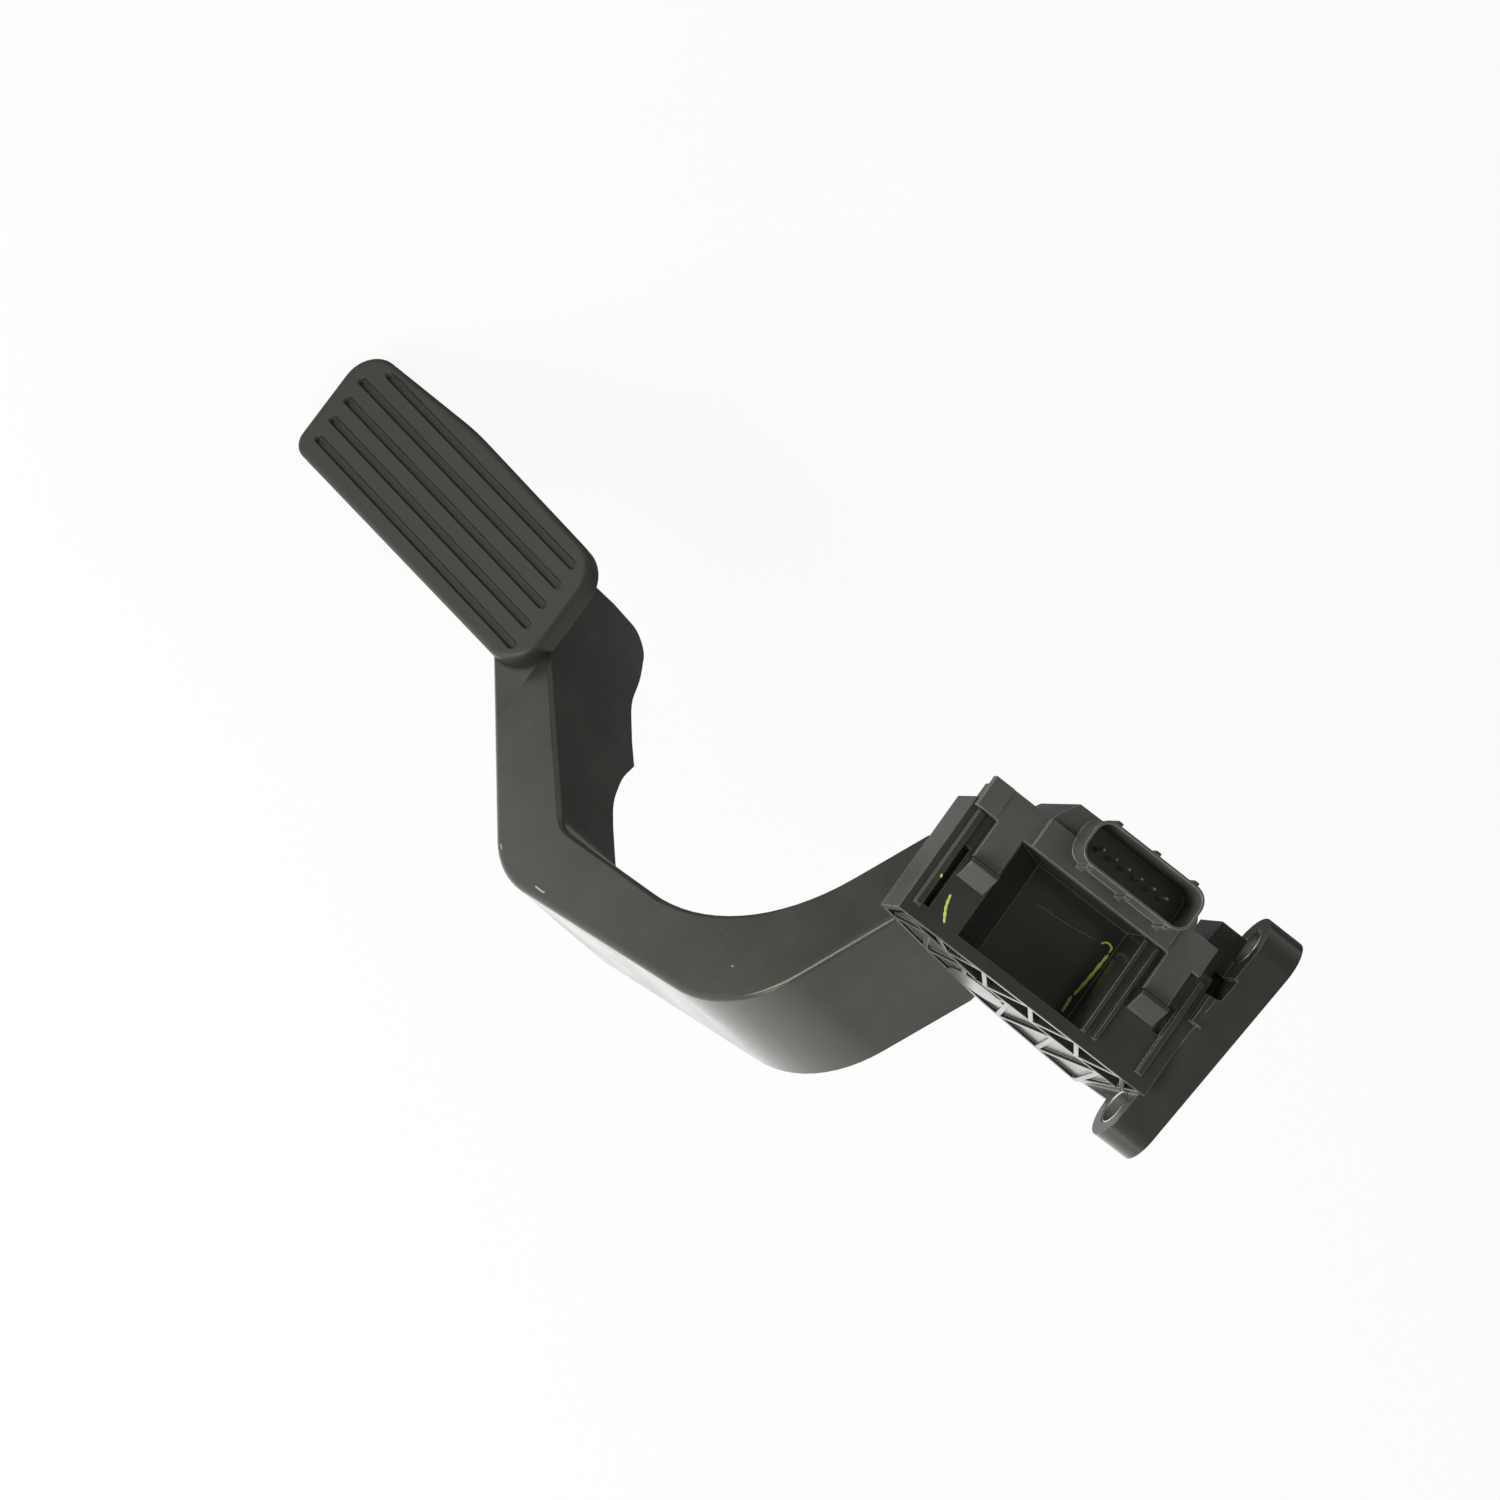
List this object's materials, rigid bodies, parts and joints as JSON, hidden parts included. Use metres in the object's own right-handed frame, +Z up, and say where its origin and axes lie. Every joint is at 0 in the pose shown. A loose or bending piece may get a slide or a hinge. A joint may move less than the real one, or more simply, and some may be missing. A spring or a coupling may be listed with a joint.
{
  "type": "accelerator pedal sensor",
  "caption": "Hanging accelerator pedal module: grooved rubber pad on a curved channel arm, sprung pivot housing with truss ribs, contactless position sensor and plug socket.",
  "frame": {"origin": "Middle of the two flange bolts, on the flange face that sits on the bulkhead.", "axes": "+X is the driver's right and the pivot axis, +Y points forward through the bulkhead along the bolts, +Z is up, the way the plug socket opens."},
  "size_m": [0.1157, 0.2492, 0.2916],
  "materials": {
    "housing_plastic": "satin moulded",
    "cover_plastic": "satin moulded",
    "arm_plastic": "satin moulded",
    "pad_rubber": "fine grained",
    "stop_rubber": "plain",
    "spring_steel": "drawn wire",
    "shaft_steel": "ground",
    "sleeve_steel": "phosphated",
    "bearing_plastic": "natural",
    "rotor_plastic": "moulded",
    "magnet_iron": "sintered",
    "board_laminate": "lacquered",
    "chip_epoxy": "moulded",
    "terminal_tin": "tinned"
  },
  "bodies": {
    "base": {"housing": "housing_plastic", "sensor_cover": "cover_plastic", "rest_stop": "stop_rubber", "full_stop": "stop_rubber", "cover_seal": "stop_rubber", "outer_spring": "spring_steel", "inner_spring": "spring_steel", "bolt_sleeve_right": "sleeve_steel", "bolt_sleeve_left": "sleeve_steel", "bush_sensor_side": "bearing_plastic", "bush_rib_side": "bearing_plastic", "friction_shoe": "bearing_plastic", "spring_seat": "bearing_plastic", "circuit_board": "board_laminate", "hall_chip_rear": "chip_epoxy", "hall_chip_front": "chip_epoxy", "terminal_1": "terminal_tin", "terminal_2": "terminal_tin", "terminal_3": "terminal_tin", "terminal_4": "terminal_tin", "terminal_5": "terminal_tin", "terminal_6": "terminal_tin"},
    "pedal": {"pedal_arm": "arm_plastic", "pedal_pad": "pad_rubber", "pivot_shaft": "shaft_steel", "magnet_rotor": "rotor_plastic", "sensor_magnet": "magnet_iron", "spring_cup": "bearing_plastic"}
  },
  "joints": [
    {"name": "pedal_pivot", "type": "hinge", "parent": "base", "child": "pedal", "pos_m": [0, -0.053, -0.02], "axis": [1, 0, 0], "range_deg": [0, 17], "stiffness_Nm_per_rad": 13.5, "springref_deg": -17.19, "deforming": ["outer_spring", "inner_spring"]}
  ]
}
